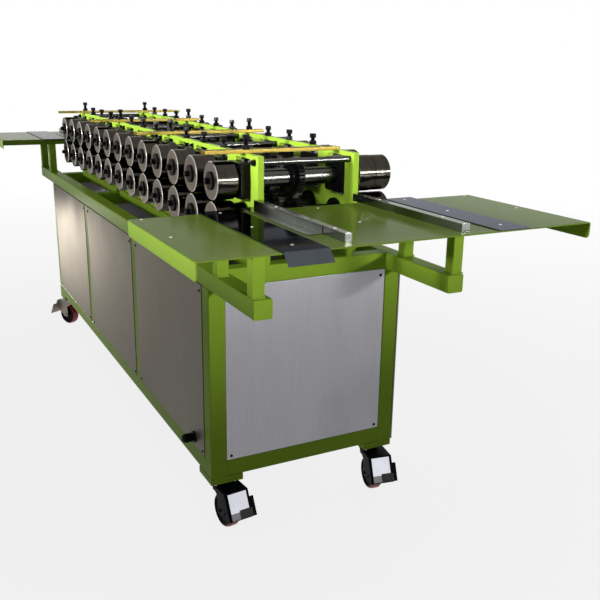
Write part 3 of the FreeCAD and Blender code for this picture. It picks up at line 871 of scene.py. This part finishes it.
def caster_wheel(corner):
    """A wheel with a rounded red tread and dished black sides."""
    spin = joints[f"caster_spin_{corner}"]
    half, edge, bore = 0.023, wheel_radius, 0.0062
    tyre = [(-half + 0.0015, edge - 0.006), (-half + 0.006, edge - 0.0018), (-half + 0.012, edge),
            (half - 0.012, edge), (half - 0.006, edge - 0.0018), (half - 0.0015, edge - 0.006)]
    left = [(-half + 0.0015, edge - 0.006), (-half, edge - 0.012), (-half + 0.002, edge - 0.013),
            (-half + 0.006, edge - 0.016), (-half + 0.006, 0.020), (-half + 0.001, 0.018),
            (-half + 0.001, bore)]
    right = [(-x, r) for x, r in reversed(left)]
    wheel = turned([(tread, tyre), (caster_black, left), (caster_black, right),
                    (caster_black, [right[0], left[-1]])], 56)
    name = f"caster_wheel_{corner}"
    piece = Piece().add(wheel, [facing(spin["pos_m"], spin["axis"])])
    piece.finish_as(name + "_tyre", [name], body=name)


def caster_fork(corner):
    """The fork's shell with its zinc brake pedal and dark tab along its leaning front."""
    lean = math.radians(25)
    pedal_level, pedal_ahead = 0.1506, 0.091
    pedal_length, tab_start, tab_side, shell_front = 0.0705, 0.0655, 0.0055, 0.0034
    name = f"caster_fork_{corner}"
    shell = caster_black if "front" in corner else fork_steel
    swivel = Vector(joints[f"caster_swivel_{corner}"]["pos_m"])
    across_axis = Vector(joints[f"caster_spin_{corner}"]["axis"])
    back_axis = turn_z.cross(across_axis)
    down_axis = -math.sin(lean) * back_axis - math.cos(lean) * turn_z
    ahead_axis = -math.cos(lean) * back_axis + math.sin(lean) * turn_z
    start = Vector((swivel.x, swivel.y, pedal_level)) - pedal_ahead * back_axis
    piece = Piece(merged_solid(name), shell, zinc, tab_steel, darker_zinc)
    bmesh.ops.bisect_plane(piece.mesh, dist=1e-5, plane_no=down_axis,
                           geom=piece.mesh.verts[:] + piece.mesh.edges[:] + piece.mesh.faces[:],
                           plane_co=start + pedal_length * down_axis)
    for face in piece.mesh.faces:
        spot = face.calc_center_median() - start
        across, down, ahead = (spot.dot(axis) for axis in (across_axis, down_axis, ahead_axis))
        if ahead > shell_front:
            on_tab = down > tab_start and across > tab_side
            pedal = darker_zinc if down > pedal_length else zinc
            piece.wear([face], tab_steel if on_tab else pedal)
    piece.soften(0.0009, 2)
    piece.finish_as(name + "_shell", [name], body=name)


def caster_hood(corner):
    """The black cover between the wheel's front and the pedal, open round the tread. It is partly a
    painted shadow: it also fills the dark patch beside the pedal, which is partly the wheel's
    shadow.
    """
    width, side, inner = 0.094, 0.060, 0.0656
    spin = joints[f"caster_spin_{corner}"]
    axle, across = Vector(spin["pos_m"]), Vector(spin["axis"])
    ahead = across.cross(turn_z)
    outline = [(-0.045, 0.0665), (-0.045, 0.0850), (0.0435, 0.0850), (0.0856, -0.0040),
               (0.0800, -0.0100)]
    outline += [(inner * math.sin(math.radians(a)), inner * math.cos(math.radians(a)))
                for a in range(96, -1, -8)]
    turn = Matrix((ahead, turn_z, -across)).transposed().to_4x4()
    piece = prism(outline, width, caster_black, 0.0012)
    placed = Piece().add(piece, [Matrix.Translation(axle + side * across) @ turn])
    placed.finish_as(f"caster_hood_{corner}", body=f"caster_fork_{corner}")


def casters():
    """Wheels, forks and top plates of the four casters, and the covers of the front two."""
    inset, plate_thickness = 0.012, 0.006
    for corner in ("front_left", "front_right", "rear_left", "rear_right"):
        caster_wheel(corner)
        caster_fork(corner)
    # The front covers are partly painted shadow, filling the dark patch beside each pedal.
    caster_hood("front_left")
    caster_hood("front_right")
    bolts = []
    for low, high in boxes_of("caster_mounts"):
        bolts += [facing((x, y, high.z - plate_thickness), -turn_z)
                  for x in (low.x + inset, high.x - inset)
                  for y in (low.y + inset, high.y - inset)]
    plates = Piece(merged_solid("caster_mounts"), caster_black).soften(0.0008)
    plates.finish_as("caster_top_plates", ["caster_mounts"])
    Piece().add(hexagon(0.013, 0.006, zinc), bolts).finish_as("caster_plate_bolts")


def floor():
    """A pale floor that keeps the shadow near the machine and fades to white far off."""
    finish = Finish("pale_floor", None)
    x, y = finish.axes(finish.place())[:2]
    away = (x * x + y * y) ** 0.5
    grain = finish.noise(4.0, detail=2.0)
    pale = finish.blend(grain, colour(246, 246, 246), colour(250, 250, 250))
    plain = finish.node("ShaderNodeBsdfDiffuse", inputs={"Color": pale})
    glow = finish.node("ShaderNodeEmission", inputs={"Color": (1, 1, 1, 1), "Strength": 1.0})
    share = finish.spread(away, 1.6, 7.0, 0.84, 1.0)
    mix = finish.node("ShaderNodeMixShader",
                      inputs={0: seen_rays(finish) * share, 1: plain, 2: glow})
    finish.node("ShaderNodeOutputMaterial", inputs={"Surface": mix})
    mesh = bmesh.new()
    bmesh.ops.create_grid(mesh, x_segments=1, y_segments=1, size=60.0)
    data = bpy.data.meshes.new("floor")
    mesh.to_mesh(data)
    mesh.free()
    data.materials.append(finish.material)
    put_in_scene("floor", data)


def seen_rays(finish):
    """1 for the rays that show the background, 0 for those that light the object."""
    seen = finish.node("ShaderNodeLightPath", output="Is Camera Ray")
    outputs = seen.socket.node.outputs
    mirrored = Wire(finish, outputs["Is Glossy Ray"])
    through = Wire(finish, outputs["Is Transmission Ray"])
    return (seen + mirrored + through) > 0.5


def studio():
    """A world that is seen as white but lights the machine dimly."""
    world = bpy.data.worlds.new("studio")
    world.use_nodes = True
    bpy.context.scene.world = world
    sky = Finish("studio", None, world.node_tree)
    dim = sky.node("ShaderNodeBackground", inputs={"Color": (1, 1, 1, 1), "Strength": 0.17})
    white = sky.node("ShaderNodeBackground", inputs={"Color": (1, 1, 1, 1), "Strength": 1.0})
    both = sky.node("ShaderNodeMixShader", inputs={0: seen_rays(sky), 1: dim, 2: white})
    sky.node("ShaderNodeOutputWorld", inputs={"Surface": both})


def lamp(name, place, target, size, power, spread=180.0, tint=(1, 1, 1), mirrored=True):
    """A rectangular lamp turned to a target, unseen by the camera."""
    light = bpy.data.lights.new(name, "AREA")
    light.shape = "RECTANGLE"
    light.size, light.size_y = size
    light.energy = power
    light.color = tint
    light.spread = math.radians(spread)
    made = put_in_scene(name, light)
    made.location = place
    made.rotation_euler = (Vector(target) - Vector(place)).to_track_quat("-Z", "Y").to_euler()
    made.visible_camera = False
    made.visible_glossy = mirrored


def lamps():
    """Key light from the left, a strip in front, and soft lights above and behind."""
    lamp("left_key", (-5.2, -0.3, 1.75), (-0.2, -0.3, 1.42), (3.6, 0.5), 15.5, 10.0)
    lamp("front_strip", (2.4, -6.0, 1.95), (-0.15, -1.2, 1.50), (3.4, 0.16), 14, 24.0)
    lamp("overhead", (0.0, 0.4, 4.6), (0, 0.2, 1.1), (3.0, 5.0), 11, mirrored=False)
    lamp("left_window", (-2.0, 5.8, 0.05), (-0.37, 1.0, 0.38), (0.5, 0.12), 0.85, 10.5,
         (1.0, 0.95, 0.88))
    lamp("inner_spot", (-2.2, -3.6, 1.7), (0.2, -1.15, 1.24), (0.3, 0.3), 0.3, 9.0,
         mirrored=False)
    lamp("back_fill", (4.4, 3.2, 2.4), (0, 0, 0.8), (3.0, 2.4), 50, mirrored=False)


def camera():
    """The camera, at the photograph's place and angle."""
    forward = Vector((math.sin(camera_yaw) * math.cos(camera_pitch),
                      math.cos(camera_yaw) * math.cos(camera_pitch), math.sin(camera_pitch)))
    right = Vector((math.cos(camera_yaw), -math.sin(camera_yaw), 0))
    up = right.cross(forward)
    rolled_right = right * math.cos(camera_roll) + up * math.sin(camera_roll)
    rolled_up = up * math.cos(camera_roll) - right * math.sin(camera_roll)
    data = bpy.data.cameras.new("camera")
    data.sensor_width = 36
    data.lens = camera_lens
    data.clip_end = 100
    made = put_in_scene("camera", data)
    turn = Matrix((rolled_right, rolled_up, -forward)).transposed().to_4x4()
    made.matrix_world = Matrix.Translation(camera_place) @ turn
    bpy.context.scene.camera = made


camera()
floor()
studio()
lamps()
tubes()
table_posts()
panels()
side_plates()
bearings()
pressure_screws()
rods_and_bars()
roll_shafts()
tables()
table_fittings()
table_screws()
cable_gland()
casters()

bpy.context.scene.view_settings.view_transform = "Standard"
